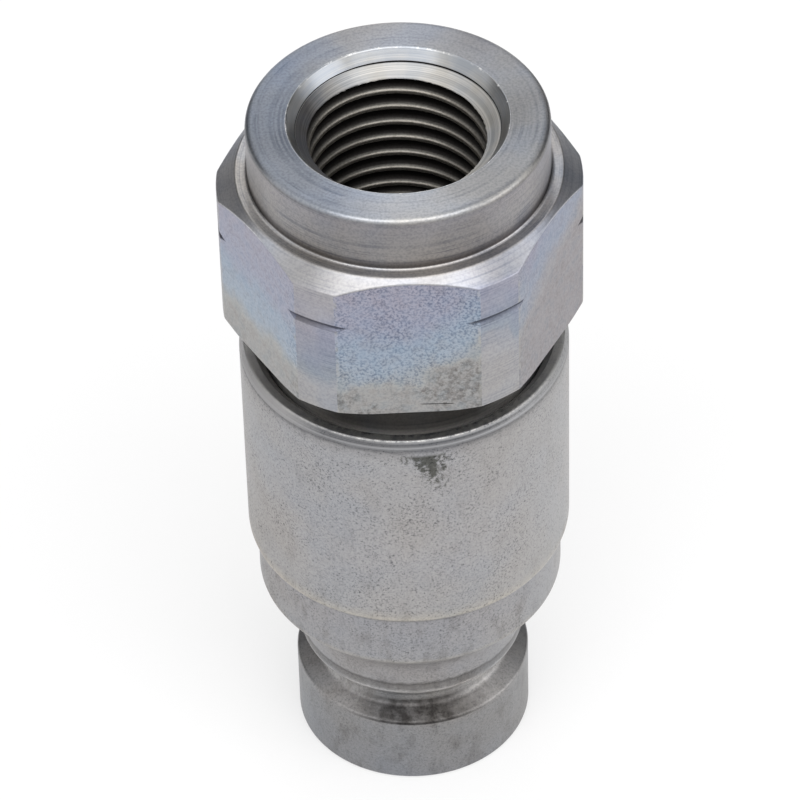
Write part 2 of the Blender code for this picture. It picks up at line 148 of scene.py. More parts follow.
# Valve
HEAD_RADIUS = head_high[0]
HEAD_THICKNESS = 1.35
HEAD_EDGE = 0.2
HEAD_ROOT = 2.95
SPIGOT_RADIUS = 1.2
HEAD_TOP = 3.35
STEM_BORE = 1.5
BORE_END = 6.95
STOP_CONE = (4.624, 5.124)
STOP_RADIUS = stem_high[0]
STOP_TOP = 6.024
BOSS_RADIUS = 3.0
BOSS_TOP = 7.524
STEM_RADIUS = 1.6
STEM_EDGE = 0.3  # chamfer of the boss and of the stem's end
SPRING_MIDDLE = 3.9
WIRE_RADIUS = 0.5
SPRING_TURNS = 6.5
CLOSED_PITCH = 1.15
GROUND_SHARE = 0.35  # of the wire's radius, ground off both ends

# Rings, and the guide
SNAP_WIDTH = 1.15
SNAP_SPAN = 320  # degrees that the open ring goes round
BACKUP_INSET = 0.25  # from the root of its groove to a backup ring
GUIDE_SHARP = 32  # degrees between faces past which an edge of the guide is crisp

# Grids of the turned pieces and the spring
TURN_ROWS = 4
SUPPORT = 0.07  # rows this far from each rounded edge keep its shading narrow
BODY_COLUMNS = 192
SMALL_COLUMNS = 96
SNAP_COLUMNS = 140
WIRE_COLUMNS = 420
ROUND_SIDES = 16  # of a seal's section and of the wire's
THREAD_ROWS = 20  # to one pitch

# Finishes: places in millimetres along the height, then the colour there
# The body's own tones with painted light and shade: the groove's floor and the taper under the step
# are painted lighter against their shade, and the land carries a band of painted shade.
BODY_TONES_AND_PAINTED_LIGHT = [
    (0.0, "969698"), (4.9, "989899"), (5.25, "9A9999"), (5.6, "A3A1A0"), (6.1, "9C9A99"),
    (6.4, "B5B3B1"), (6.65, "E4E2E0"), (7.1, "F0EEEC"), (7.6, "BAB8B6"), (8.05, "C9C7C5"),
    (8.25, "DCDAD8"), (8.45, "9E9C9B"), (8.65, "8A8887"), (8.9, "8A8887"), (9.1, "706E6D"),
    (9.35, "A7A5A5"), (12.4, "A6A4A5"), (12.9, "BEBBB7"), (13.75, "C0BCB6"), (13.95, "B3AFAA"),
    (14.4, "A9A8A9"), (18.0, "A9A7A8"), (18.4, "B9B4AE"), (18.7, "C8C2B8"), (19.1, "B8B4AF"),
    (19.7, "B2B0AF"), (24.0, "B4B2B2"), (33.6, "B1B0B1"), (34.35, "A3A2A3"), (34.6, "7E7E80"),
    (34.8, "9FA0A2"), (Z_RIM, "A6A7A9"),
]
# The adapter's own tones with painted light and shade: a painted light line low on the neck, the
# neck dark with oil and painted shade, painted shade at the collar's foot, a painted highlight on
# the bead below it, and a painted highlight over a painted shade line at the collar's top edge.
ADAPTER_TONES_AND_PAINTED_LIGHT = [
    (Z_RIM - 1.0, "D2D0CD"), (Z_RIM - 0.7, "96938F"), (Z_RIM - 0.3, "5A5856"),
    (Z_RIM + 0.1, "504E4C"), (Z_HEX - 0.2, "5C5A58"), (Z_HEX + 0.1, "ABAAAB"),
    (48.6, "AFAEB2"), (48.9, "CBCCD0"), (49.66, "CBCBCE"), (49.685, "BFBCB9"),
    (49.705, "BFBCB9"), (49.72, "DAD7D4"), (49.77, "CCC9C6"), (49.81, "605B58"),
    (50.2, "8E8A88"), (50.5, "B0ADAB"), (51.6, "AAA8A8"), (53.3, "A8A6A9"), (53.48, "8C8A89"),
    (53.6, "A8A7A6"), (53.72, "B5B4B2"), (53.785, "999A9C"), (Z_PORT, "999A9C"),
]
TIDE_COLOURS = [
    (-6.0, "A2A1A0"), (-0.5, "A4A3A2"), (0.0, "A9A9A8"), (0.6, "A3A8AE"), (1.4, "A2ACB8"),
    (3.2, "9EA9B8"), (5.2, "A0A3B3"), (8.0, "A2A1AF"), (14.0, "A2A2AE"),
]
TIDE_HEIGHT = 43.0  # where the blue coat ends, at the middle of the hexagon
TIDE_LOWEST = 40.6
TIDE_SLANT = (0.56, 0.2, 0.0)  # how far it rises to one across and to one back
TIDE_DROP = ((6.3, 7.1), 1.9)  # across from the middle, and how far it runs lower beyond
RINSE_HEIGHTS = (48.6, 48.9)  # between them the coat gives way to a chamfer rinsed nearly bare
PIT_SCALE = 6.3  # to the millimetre, so that a pit is 0.1 to 0.2 mm wide
SPECK_SCALE = 5.8  # specks of the coat, about 0.15 mm wide
MARK_SHADE_TINT = "98989C"  # painted shade in the groove across the corners
SINK_SHADE_ANGLE = 1.25  # radians: middle of the painted shade line between the port's cones
GROOVE_SHADE_ANGLES = (0.2, 0.8)  # radians from the front, where the groove's painted shade is darkest
RIM_OIL_ANGLES = (0.5, 1.2)  # the same, of the film of oil on the rim
GROOVE_SHADE_HEIGHTS = ((5.28, 5.38), (6.8, 6.35))  # unshaded, then fully shaded
SCUFF_TIP = (1.95, -10.8, 30.9)  # lowest point of the greasy scuff under the rim
SCUFF_HEIGHT = 3.2
SCUFF_HALF = (0.4, 1.95)  # its half width at its lowest and highest point
SCUFF_LEAN = -0.34  # how far it goes across to one up
SCRATCH_MIDDLE = (1.8, -FLAT_RADIUS, 38.85)
SCRATCH_NORMAL = (0.03, 0.0, 1.0)
SCRATCH_OFFSET = 38.91  # the scratch's place along its normal
STAINS_MIDDLE = (3.5, -FLAT_RADIUS, 40.9)  # of the stains that gather above the scratch

# Camera and light
PHOTO_TURN = -1.24  # degrees round the object
PHOTO_ELEVATION = 43.781
PHOTO_ROLL = -1.707
PHOTO_OFFSET = (-0.392, -18.06, 352.8)  # from the port's face: right, up and back
PHOTO_LENS = 247.23
FLAG_SPAN = ((0.16, 0.42), (0.5, 0.12))  # metres: ends of the black flag behind each side
FLAG_HEIGHTS = (0.0, 0.4)
FLAG_WEAVE = 300.0  # threads of its cloth to the metre, coarse enough to show
LIGHT_AIM = (0.0, 0.0, 0.03)
LIGHTS = (  # name, size in metres, watts and place
    ("key_softbox", (0.8, 0.36), 2.4, (0.0, -0.32, 0.5)),
    ("top_strip", (0.05, 0.7), 0.18, (0.0, 0.3, 0.42)),
    ("side_fill", (0.3, 0.3), 0.4, (0.45, -0.15, 0.2)),
)


def linear(colour):
    """An sRGB hex colour as linear light, opaque."""
    parts = [int(colour[i:i + 2], 16) / 255 for i in (0, 2, 4)]
    return (*(p / 12.92 if p <= 0.04045 else ((p + 0.055) / 1.055) ** 2.4 for p in parts), 1.0)


def outline(corners, softness, closed=True):
    """Rows of an outline through corner points, as (row, column, 2).

    A corner of softness s becomes the quadratic curve from s before it to s after it. Each
    straight run between two curves has a row close to either end and one in its middle.
    An open outline keeps its first and last corner sharp.
    """
    points = np.asarray(corners, float)
    if points.ndim == 2:
        points = points[:, None, :]
    soft = np.array(softness, float).reshape(-1, 1)
    if not closed:
        soft[[0, -1]] = 0.0
    back = np.roll(points, 1, 0) - points
    ahead = np.roll(points, -1, 0) - points
    back_length = np.maximum(np.linalg.norm(back, axis=-1), 1e-9)
    ahead_length = np.maximum(np.linalg.norm(ahead, axis=-1), 1e-9)
    reach = np.minimum(soft, 0.47 * np.minimum(back_length, ahead_length))
    start = points + back * (reach / back_length)[..., None]
    end = points + ahead * (reach / ahead_length)[..., None]
    t = np.linspace(0, 1, TURN_ROWS + 1).reshape(-1, 1, 1, 1)
    curves = (1 - t) ** 2 * start + 2 * t * (1 - t) * points + t ** 2 * end
    run = np.roll(start, -1, 0) - end
    run_length = np.maximum(np.linalg.norm(run, axis=-1), 1e-9)
    near = np.minimum(SUPPORT / run_length, 0.25)
    shares = np.stack([near, 0 * near + 0.5, 1 - near])[..., None]
    rows = np.concatenate([curves, end + shares * run]).transpose(1, 0, 2, 3)
    rows = rows.reshape(-1, points.shape[1], 2)
    if not closed:
        rows = rows[TURN_ROWS:len(rows) - TURN_ROWS - len(shares)]
    return rows


PER_CORNER = TURN_ROWS + 4  # rows that one corner and the run after it take


def around(rows, angles):
    """Carries rows of (radius, height) round Z: x is radius times cosine, y radius times sine."""
    radius = np.broadcast_to(rows[..., 0], (rows.shape[0], len(angles)))
    height = np.broadcast_to(rows[..., 1], radius.shape)
    return np.stack([radius * np.cos(angles), radius * np.sin(angles), height], -1)


def piece(name, grid, materials, zones=None, row_loop=True, column_loop=True):
    """Mesh object of a grid (row, column, xyz) in mm; zones gives each cell its material.

    A grid whose columns don't close on themselves gets a cap at either end.
    """
    rows, columns = grid.shape[:2]
    index = np.arange(rows * columns).reshape(rows, columns)
    low, high = (index, np.roll(index, -1, 0)) if row_loop else (index[:-1], index[1:])
    quads = np.stack([low, np.roll(low, -1, 1), np.roll(high, -1, 1), high], -1)
    if not column_loop:
        quads = quads[:, :-1]
    quads = quads.reshape(-1, 4)
    mesh = bpy.data.meshes.new(name)
    mesh.vertices.add(rows * columns)
    mesh.vertices.foreach_set("co", (grid * MM).astype(np.float32).ravel())
    mesh.loops.add(quads.size)
    mesh.loops.foreach_set("vertex_index", quads.astype(np.int32).ravel())
    mesh.polygons.add(len(quads))
    mesh.polygons.foreach_set("loop_start", np.arange(0, quads.size, 4, dtype=np.int32))
    for material in materials:
        mesh.materials.append(material)
    if zones is not None:
        mesh.polygons.foreach_set("material_index", zones.astype(np.int32).ravel())
    mesh.update(calc_edges=True)
    close_up(mesh, caps=not column_loop)
    return shown(name, mesh)


def shown(name, data):
    """Links finished data, such as a mesh, as an object at the origin."""
    made = bpy.data.objects.new(name, data)
    bpy.context.scene.collection.objects.link(made)
    return made


def close_up(mesh, caps=False):
    """Merges points that fall together, at poles for instance, and closes open ends."""
    bm = bmesh.new()
    bm.from_mesh(mesh)
    bmesh.ops.remove_doubles(bm, verts=bm.verts, dist=2e-7)
    if caps:
        bmesh.ops.holes_fill(bm, edges=[e for e in bm.edges if e.is_boundary], sides=0)
        bmesh.ops.recalc_face_normals(bm, faces=bm.faces)
    bm.to_mesh(mesh)
    bm.free()
    mesh.shade_smooth()


def dress(made, body, slot, *nodes):
    """A finished piece rides on its body and stands for its nodes; its slot is not used."""
    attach(made, body)
    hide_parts(*nodes)
    return made


def turned(name, corners, materials, columns=SMALL_COLUMNS, closed=True):
    """A turned piece from (radius, height, softness) corners, up its outside first."""
    corners = np.array(corners, float)
    rows = outline(corners[:, :2], corners[:, 2], closed)
    angles = np.arange(columns) * 2 * math.pi / columns
    return piece(name, around(rows, angles), materials, row_loop=closed)


def body_corners():
    """Outline of the nipple body: up the outside from the tip, then down the inside."""
    corners = [
        (TIP_RADIUS - TIP_EDGE, 0, 0.04),
        (TIP_RADIUS, TIP_EDGE, 0.05),
        (TIP_RADIUS, FLANGE_TOP, 0.16),
        (GROOVE_RADIUS, GROOVE_FLOOR[0], 0.35),
        (GROOVE_RADIUS, GROOVE_FLOOR[1], 0.45),
        (LAND_RADIUS, LAND[0], 0.55),
        (LAND_RADIUS, LAND[1], 0.1),
        (*KNEE, 2.4),
        (STEP_RADIUS, STEP[0], 0.22),
        (STEP_RADIUS, STEP[1], 0.35),
        (SLEEVE_RADIUS, SLEEVE_FOOT, 0.35),
        (SLEEVE_RADIUS, Z_RIM - RIM_CHAMFER[1], 0.15),
        (SLEEVE_RADIUS - RIM_CHAMFER[0], Z_RIM, 0.12),
        (THREAD_BORE + RIM_MOUTH, Z_RIM, 0.06),
    ]
    top = Z_RIM - RIM_MOUTH
    for radius, bottom, upper, lower in BORES:
        corners += [(radius, top, upper), (radius, bottom, lower)]
        top = bottom
    return corners + [
        (*THROAT, 0.1),
        (THROAT[0], BORE_LENGTH + THROAT[0] - BORE_RADIUS, 0.05),
        (BORE_RADIUS, BORE_LENGTH, 0.05),
        (BORE_RADIUS, BORE_MOUTH, 0.05),
        (BORE_RADIUS + BORE_MOUTH, 0, 0.05),
    ]


def hexagon_angles():
    """Columns for the adapter: close together beside each edge between a flat and a corner."""
    edge = math.degrees(math.acos(FLAT_RADIUS / CORNER_RADIUS))
    near = np.array([-1.1, -0.55, -0.3, -0.15, 0.0, 0.15, 0.3, 0.55, 1.1])
    flat = np.linspace(-edge + 2.2, edge - 2.2, 17)
    corner = np.linspace(edge + 2.2, 60 - edge - 2.2, 5)
    sector = np.concatenate([flat, edge + near, corner, 60 - edge + near])
    degrees = np.concatenate([30 + sector + 60 * k for k in range(6)])
    return np.radians(np.sort(degrees % 360))


def hexagon_radius(angles):
    """Distance to the hexagon: the flat's distance over a cosine, eased into the turned corner."""
    from_flat = angles % (math.pi / 3) - math.pi / 6
    flat = FLAT_RADIUS / np.cos(from_flat)
    share = np.clip(0.5 + 0.5 * (CORNER_RADIUS - flat) / EDGE_BLEND, 0, 1)
    return flat * share + CORNER_RADIUS * (1 - share) - EDGE_BLEND * share * (1 - share)


def mouth_cone(depth):
    """Radius of the lower cone of the port's mouth: falls evenly with depth."""
    return SINK[1][0] - THREAD_CONE * (depth - SINK[1][1])


def port_radius(angles, depth):
    """Radius of the port's wall: a rounded triangle wave along a right-hand helix, never
    inside the tap drill's bore or the cone of its mouth, and run out at both ends."""
    turn = (angles - math.pi / 2) / (2 * math.pi)
    phase = 2 * math.pi * ((depth - FIRST_CREST) / PITCH + turn)
    wave = np.arcsin(THREAD_ROUNDING * np.cos(phase)) / math.asin(THREAD_ROUNDING)
    groove = (THREAD_MAJOR - THREAD_MINOR) * (0.5 - 0.5 * wave)
    start = np.clip((depth - THREAD_START[0]) / (THREAD_START[1] - THREAD_START[0]), 0, 1)
    end = np.clip((THREAD_LENGTH - depth) / PITCH, 0, 1)
    cut = THREAD_MINOR + groove * start * end
    cone = mouth_cone(depth)
    ragged = np.sin(23 * angles + 2) * np.sin(41 * angles) + 0.6 * np.sin(67 * angles + 1)
    lip = np.exp(-((cut - cone) / 0.09) ** 2) * np.clip(depth - 0.95, 0, 0.2) * 5
    return np.maximum(np.maximum(cut, PORT_BORE), cone) - BURR * np.clip(ragged, 0, 1) * lip


def adapter_grid():
    """Grid of the adapter and each cell's material: nose, shank, hexagon, collar, then the port.

    Across the hexagon each column's outline is cut off at that column's distance to the flat.
    A cell between two columns that both reach the turned corner is turned, not milled.
    """
    angles = hexagon_angles()
    hexagon = hexagon_radius(angles)
    lower_small = CORNER_RADIUS - LOWER_CHAMFER[0]
    upper_small = CORNER_RADIUS - UPPER_CHAMFER[0]
    lower_slope = LOWER_CHAMFER[1] / LOWER_CHAMFER[0]
    upper_slope = UPPER_CHAMFER[1] / UPPER_CHAMFER[0]
    z_lower = Z_HEX + np.maximum((hexagon - lower_small) * lower_slope, EDGE_BREAK)
    z_upper = Z_RING - (hexagon - upper_small) * upper_slope
    mark_root = np.minimum(hexagon, CORNER_RADIUS - MARK_DEPTH)
    mark_half = MARK_HALF * (hexagon - mark_root) / MARK_DEPTH + 0.02
    flats, turning, mouth, thread, inner = range(5)
    corners = [
        (NOSE_MOUTH, Z_NOSE, 0.05, inner),
        (NOSE_RADIUS - NOSE_EDGE, Z_NOSE, 0.05, inner),
        (NOSE_RADIUS, Z_NOSE + NOSE_EDGE, 0.05, inner),
        (NOSE_RADIUS, NOSE_GROOVE[0], 0.05, inner),
        (NOSE_ROOT, NOSE_GROOVE[0], 0.1, inner),
        (NOSE_ROOT, NOSE_GROOVE[1], 0.1, inner),
        (NOSE_RADIUS, NOSE_GROOVE[1], 0.05, inner),
        (NOSE_RADIUS, SHANK_FOOT, 0.05, inner),
        (SHANK_RADIUS - NOSE_EDGE, SHANK_FOOT, 0.05, inner),
        (SHANK_RADIUS, SHANK_FOOT + NOSE_EDGE, 0.05, turning),
        (SHANK_RADIUS, Z_RIM, 0.05, turning),
        (NECK_RADIUS, Z_RIM + 0.2, 0.05, turning),
        (NECK_RADIUS, Z_HEX, 0.3, turning),
        (np.minimum(hexagon - EDGE_BREAK, lower_small), Z_HEX, 0.05, turning),
        (hexagon, z_lower, 0.06, flats),
        (hexagon, MARK_HEIGHT - mark_half, 0.06, flats),
        (mark_root, MARK_HEIGHT, 0.12, flats),
        (hexagon, MARK_HEIGHT + mark_half, 0.06, flats),
        (hexagon, z_upper, 0.08, turning),
        (upper_small, Z_RING, 0.06, turning),
        (COLLAR_RADIUS, Z_RING, 0.24, turning),
        (COLLAR_RADIUS, Z_PORT, 0.42, turning),
        (SINK[0][0], Z_PORT, 0.07, mouth),
        (SINK[1][0], Z_PORT - SINK[1][1], 0.04, thread),
        (PORT_BORE, PORT_END, 0.05, inner),
        (FLOW_RADIUS, PORT_END - DRILL_CONE, 0.05, inner),
        (FLOW_RADIUS, NOSE_CONE, 0.1, inner),
    ]
    points = np.array([[c[0] + 0 * angles, c[1] + 0 * angles] for c in corners])
    rows = outline(points.transpose(0, 2, 1), [c[2] for c in corners])
    zones = np.repeat([[c[3]] for c in corners], PER_CORNER, 0) + np.zeros(len(angles), int)
    turned_off = hexagon > CORNER_RADIUS - 0.005
    zones[(zones == flats) & turned_off & np.roll(turned_off, -1)] = turning

    start = [c[3] for c in corners].index(thread) * PER_CORNER + TURN_ROWS + 1
    end = start + PER_CORNER - TURN_ROWS - 1
    top = Z_PORT - rows[start - 1, 0, 1]
    bottom = Z_PORT - PORT_END - 0.06
    count = round((bottom - top) / PITCH * THREAD_ROWS)
    depth = np.linspace(top, bottom, count + 2)[1:-1, None] + 0 * angles
    radius = port_radius(angles, depth)
    wall = np.stack([radius, Z_PORT - depth], -1)
    wall_zones = np.where(radius <= mouth_cone(depth) + 0.01, mouth, thread)
    rows = np.concatenate([rows[:start], wall, rows[end:]])
    zones = np.concatenate([zones[:start - 1], zones[start - 1:start] * 0 + mouth,
                            wall_zones, zones[end:]])
    return around(rows, angles), zones


def ring_section(radius, height, size):
    """Corners of a round section, for a seal turned about Z."""
    angles = np.arange(ROUND_SIDES) * 2 * math.pi / ROUND_SIDES
    across = radius + size * np.cos(angles)
    along = height + size * np.sin(angles)
    return np.stack([across, along, 0 * angles], -1)


def flat_section(node, radius_in, softness):
    """Corners of a rectangular section that fills a node's box from an inner radius."""
    low, high = in_mm(node)
    return [(radius_in, low[2], softness), (high[0], low[2], softness),
            (high[0], high[2], softness), (radius_in, high[2], softness)]


def round_seal(name, body, material):
    """An O-ring as a torus: a round section midway between its node's inner and outer edge."""
    low, high = in_mm(name)
    size = (high[2] - low[2]) / 2
    corners = ring_section(high[0] - size, (low[2] + high[2]) / 2, size)
    seal = turned(name + "_moulded", corners, [material])
    return dress(seal, body, "seal_rubber", name)


def coil_height(turn):
    """Height of the wire's centre after a number of turns: closed ends, even pitch between."""
    ground = WIRE_RADIUS * (1 - GROUND_SHARE)
    low = spring_low[2] + ground
    high = spring_high[2] - ground
    closed = 2 * WIRE_RADIUS * CLOSED_PITCH
    stops = [0, 1, SPRING_TURNS - 1, SPRING_TURNS]
    return np.interp(turn, stops, [low, low + closed, high - closed, high])


def spring_grid():
    """Wire of a coil spring: a circle carried along a helix, cut flat where the ends are ground."""
    turn = np.linspace(0, SPRING_TURNS, WIRE_COLUMNS)[None, :]
    side = np.linspace(0, 2 * math.pi, ROUND_SIDES, endpoint=False)[:, None]
    reach = SPRING_MIDDLE + WIRE_RADIUS * np.cos(side) + 0 * turn
    height = coil_height(turn) + WIRE_RADIUS * np.sin(side)
    height = np.clip(height, spring_low[2], spring_high[2])
    angle = 2 * math.pi * turn
    return np.stack([reach * np.cos(angle), reach * np.sin(angle), height], -1)


def snap_ring_grid(node):
    """Open ring of rectangular section with soft edges."""
    outer_radius = in_mm(node)[1][0]
    corners = np.array(flat_section(node, outer_radius - SNAP_WIDTH, 0.08))
    rows = outline(corners[:, :2], corners[:, 2])
    return around(rows, np.radians(np.linspace(0, SNAP_SPAN, SNAP_COLUMNS)))


def add(tree, kind, *values, output=None, stops=(), **settings):
    """Adds a node with its settings and returns its first output in use, or the named one.

    The kind may name an operation too. Its sockets take the values in order: a number, a vector,
    a link, a hex colour, or None for what the socket has already. Stops are a colour ramp's
    places and hex colours.
    """
    kind, *operation = kind.split()
    node = tree.nodes.new("ShaderNode" + kind)
    if operation:
        node.operation = operation[0]
    for name, value in settings.items():
        setattr(node, name, value)
    for socket, value in zip([s for s in node.inputs if s.enabled], values):
        if isinstance(value, bpy.types.NodeSocket):
            tree.links.new(value, socket)
        elif value is not None:
            socket.default_value = linear(value) if isinstance(value, str) else value
    if stops:
        elements = node.color_ramp.elements
        while len(elements) < len(stops):
            elements.new(1.0)
        for element, (place, colour) in zip(elements, stops):
            element.position = place
            element.color = linear(colour)
    if output:
        return node.outputs[output]
    return next(s for s in node.outputs if s.enabled)


def metal(name, roughness, anisotropy=0.0):
    """A Principled BSDF for bare or plated metal, with its tree and its place in millimetres."""
    material = bpy.data.materials.new(name)
    material.use_nodes = True
    tree = material.node_tree
    shader = tree.nodes["Principled BSDF"]
    shader.inputs["Metallic"].default_value = 1.0
    shader.inputs["Roughness"].default_value = roughness
    place = add(tree, "TexCoord", output="Object")
    place = add(tree, "VectorMath SCALE", place, 1 / MM)
    if anisotropy:
        shader.inputs["Anisotropic"].default_value = anisotropy
        shader.inputs["Anisotropic Rotation"].default_value = 0.25
        round_way = add(tree, "VectorMath CROSS_PRODUCT", (0, 0, 1), place)
        tree.links.new(round_way, shader.inputs["Tangent"])
    return material, tree, shader, place


def coat(tree, shader, colour, height, depth, roughness=None):
    """Links a finish to its shader; the height pattern's full swing is a real depth in mm."""
    tree.links.new(colour, shader.inputs["Base Color"])
    normal = add(tree, "Bump", 1.0, depth * MM, None, height)
    tree.links.new(normal, shader.inputs["Normal"])
    if roughness is not None:
        tree.links.new(roughness, shader.inputs["Roughness"])


def turned_place(tree, place):
    """Radius, height and angle of a point about Z, as separate values."""
    flat = add(tree, "VectorMath MULTIPLY", place, (1, 1, 0))
    radius = add(tree, "VectorMath LENGTH", flat)
    split = add(tree, "SeparateXYZ", place).node.outputs
    angle = add(tree, "Math ARCTAN2", split["Y"], split["X"])
    return radius, split["Z"], angle


def tool_marks(tree, place, per_mm, streak=0.35):
    """Noise that is fine across a turned surface and long round it, as a lathe tool leaves it.

    It is mirrored in the XZ plane, so that it closes on itself without a seam.
    """
    radius, height, angle = turned_place(tree, place)
    across = add(tree, "CombineXYZ", radius, height)
    across = add(tree, "VectorMath SCALE", across, per_mm)
    round_way = add(tree, "Math ABSOLUTE", angle)
    round_way = add(tree, "Math MULTIPLY", round_way, streak)
    lift = add(tree, "CombineXYZ", 0, 0, round_way)
    vector = add(tree, "VectorMath", across, lift)
    return add(tree, "TexNoise", vector, 1.0, 3.0)


def along(tree, value, stops):
    """Colours at chosen places along a value, such as a height in millimetres or a noise."""
    low, high = stops[0][0], stops[-1][0]
    share = add(tree, "MapRange", value, low, high)
    return add(tree, "ValToRGB", share,
               stops=[((place - low) / (high - low), colour) for place, colour in stops])


def patches(tree, noise, *reach):
    """Noise of a vector, scale, detail and roughness, taken from one of its values to another."""
    return add(tree, "MapRange", add(tree, "TexNoise", *noise), *reach)


def apart(tree, value, middle):
    """How far a value lies from a middle one, either way."""
    gap = add(tree, "Math SUBTRACT", value, middle)
    return add(tree, "Math ABSOLUTE", gap)


def layered(tree, colour, *layers):
    """Lays tints over a colour in turn. A layer is a way of blending, a tint (a hex colour or a
    link) and shares: it goes as far as their product."""
    for blend, tint, share, *others in layers:
        for other in others:
            share = add(tree, "Math MULTIPLY", share, other)
        colour = add(tree, "Mix", share, colour, tint, data_type="RGBA", blend_type=blend)
    return colour


def main_camera():
    """Camera at the photograph's viewpoint, turned with the hexagon's small turn from it."""
    data = bpy.data.cameras.new("photo_camera")
    data.lens = PHOTO_LENS
    data.sensor_width = 36
    data.clip_start = 0.01
    data.clip_end = 10
    camera = shown("photo_camera", data)
    turn = Matrix.Rotation(math.radians(PHOTO_TURN), 4, "Z")
    face = Matrix.Translation((0, 0, Z_PORT * MM))
    tilt = Matrix.Rotation(math.radians(90 - PHOTO_ELEVATION), 4, "X")
    away = Matrix.Translation(Vector(PHOTO_OFFSET) * MM)
    roll = Matrix.Rotation(math.radians(PHOTO_ROLL), 4, "Z")
    camera.matrix_world = turn @ face @ tilt @ away @ roll
    bpy.context.scene.camera = camera


def body_finish():
    """Zinc plate on a turned and tumbled steel body.

    Plating leaves it a dull mid grey with fine dark pits. Its edges are worn to a warm light
    line. The rim's chamfer still shows the tool, under dents and a film of oil in front. The
    locking groove and the flange's top edge are darkened with painted shade, most at the front.
    The right side is painted lighter, as if lit from there, and handling left smudges and a
    greasy scuff. The bore under the rim is painted lighter against its shade.
    """
    material, tree, shader, place = metal("zinc_plated_tumbled_steel", 0.43)
    radius, height, angle = turned_place(tree, place)
    ragged = add(tree, "TexNoise", place, 1.6, 3.0)
    wander = add(tree, "MapRange", ragged, 0.2, 0.8, -0.12, 0.12)
    colour = along(tree, add(tree, "Math", wander, height), BODY_TONES_AND_PAINTED_LIGHT)

    cloud = add(tree, "TexNoise", place, 0.16, 3.0)
    clouds = along(tree, cloud, [(0.34, "F2F5F9"), (0.5, "FAFAFA"), (0.66, "FAF8F5")])
    grain = add(tree, "TexNoise", place, PIT_SCALE, 5.0, 0.8)
    grey = along(tree, grain, [(0.38, "FFFFFF"), (0.5, "F1F1F2"), (0.62, "DCDDDF")])
    crowd = add(tree, "TexNoise", place, 0.3, 2.0)
    needed = add(tree, "MapRange", crowd, 0.3, 0.7, 0.59, 0.53)
    pits = add(tree, "Math SUBTRACT", grain, needed)
    pits = add(tree, "MapRange", pits, 0.0, 0.07)
    fewer = add(tree, "MapRange", height, LAND[1], SLEEVE_FOOT, 0.35, 1.0)
    pits = add(tree, "Math MULTIPLY", pits, fewer)

    handled = add(tree, "VectorMath MULTIPLY", place, (1.0, 1.0, 0.45))
    smudge = patches(tree, (handled, 0.9, 5.0, 0.6), 0.5, 0.75)
    low_down = add(tree, "MapRange", height, SLEEVE_FOOT + 3, SLEEVE_FOOT - 3, 0.35, 1.0)
    across = add(tree, "SeparateXYZ", place).node.outputs["X"]
    # Painted light: the right side is mixed lighter, as if lit from there.
    painted_light_right = add(tree, "MapRange", across, 3.0, 9.0, 0, 0.18)

    inner_edge = THREAD_BORE + RIM_MOUTH
    outside = add(tree, "MapRange", radius, inner_edge - 0.08, inner_edge + 0.02)
    on_rim = add(tree, "MapRange", height, Z_RIM - RIM_CHAMFER[1] - 0.1, Z_RIM - RIM_CHAMFER[1])
    on_rim = add(tree, "Math MULTIPLY", on_rim, outside)
    off_side = apart(tree, angle, -math.pi / 2)
    # Painted shade: the locking groove and the flange's top edge are darkened, most at the front.
    groove_shade = add(tree, "MapRange", off_side, *GROOVE_SHADE_ANGLES, 1, 0, interpolation_type="SMOOTHSTEP")
    reaches = [add(tree, "MapRange", height, clean, dirty) for clean, dirty in GROOVE_SHADE_HEIGHTS]
    streaky = add(tree, "MapRange", ragged, 0.3, 0.6, 0.75, 1.0)
    oiled = add(tree, "MapRange", off_side, *RIM_OIL_ANGLES, 1, 0)
    left = add(tree, "VectorMath DOT_PRODUCT", place, (-1, 0.3, 0))
    plain = add(tree, "MapRange", left, 3.0, 6.0, 0, 0.85)

    marks = tool_marks(tree, place, 7.0)
    rubbed = add(tree, "MapRange", marks, 0.45, 0.7, 0, 0.8)
    dents = patches(tree, (place, 2.4, 5.0, 0.7), 0.36, 0.6)
    at_edge = add(tree, "MapRange", height, Z_RIM - 0.16, Z_RIM - 0.06)
    # Painted light: the bore under the rim is lightened against its shade.
    mouth = add(tree, "MapRange", radius, inner_edge - 0.02, inner_edge - 0.1)
    above = add(tree, "MapRange", height, STOP_SHOULDER - 1, STOP_SHOULDER)
    colour = layered(
        tree, colour,
        ("MULTIPLY", clouds, 1.0),
        ("MULTIPLY", grey, 1.0),
        ("MULTIPLY", "B6B7BA", pits),
        ("MULTIPLY", "D6D4D2", smudge, low_down),
        ("MIX", "C8C6C4", painted_light_right),
        ("MULTIPLY", "696766", groove_shade, *reaches, streaky),
        ("MULTIPLY", "A9A9AB", oiled, on_rim),
        ("MIX", "A3A1A1", plain, on_rim),
        ("LIGHTEN", "A8A8AA", rubbed, on_rim),
        ("LIGHTEN", "ACABA9", dents, outside, at_edge),
        ("MIX", "BEBCBB", mouth, above),
        ("MULTIPLY", "90918A", scuff_share(tree, place)),
    )

    dull = add(tree, "MapRange", cloud, 0.3, 0.7, 0.38, 0.48)
    in_pits = add(tree, "MapRange", pits, 0, 1, 0, 0.12)
    raised = add(tree, "MapRange", marks, 0.2, 0.8, 0, 0.35)
    sunk = add(tree, "MapRange", pits, 0, 1, 0.3, 0)
    coat(tree, shader, colour, add(tree, "Math", raised, sunk), 0.012,
         add(tree, "Math", dull, in_pits))
    return material


